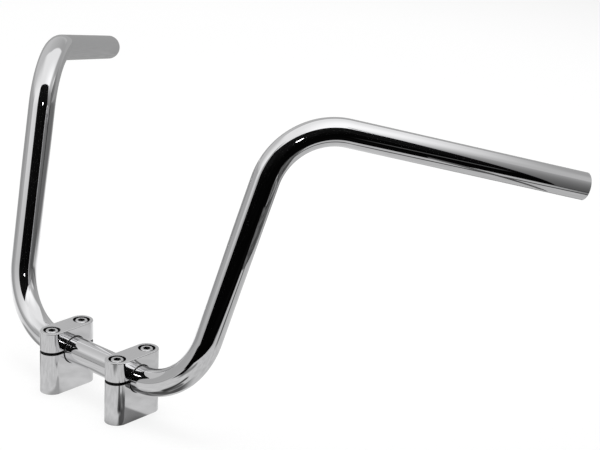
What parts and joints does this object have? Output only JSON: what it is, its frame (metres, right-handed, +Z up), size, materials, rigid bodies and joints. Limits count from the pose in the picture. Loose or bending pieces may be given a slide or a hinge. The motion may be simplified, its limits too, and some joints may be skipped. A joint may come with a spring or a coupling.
{
  "type": "motorcycle handlebar",
  "caption": "Chrome motorcycle handlebar: a bent tube with tall leaning uprights and swept-back grips, clamped in short risers with screwed caps.",
  "frame": {"origin": "midway between the two risers, on the plane of their undersides", "axes": "+X to the rider's left, +Y to the rear, +Z up along the risers"},
  "size_m": [0.6514, 0.3361, 0.294],
  "materials": {
    "bar_chrome": "mirror-bright chrome plate on bent steel tube",
    "riser_chrome": "polished chrome plate with fine polishing lines",
    "screw_chrome": "bright plated socket screws with knurled heads"
  },
  "bodies": {
    "root": {"handlebar": "bar_chrome", "left_riser": "riser_chrome", "right_riser": "riser_chrome", "left_clamp_cap": "riser_chrome", "right_clamp_cap": "riser_chrome", "clamp_screws": "screw_chrome"}
  },
  "joints": []
}
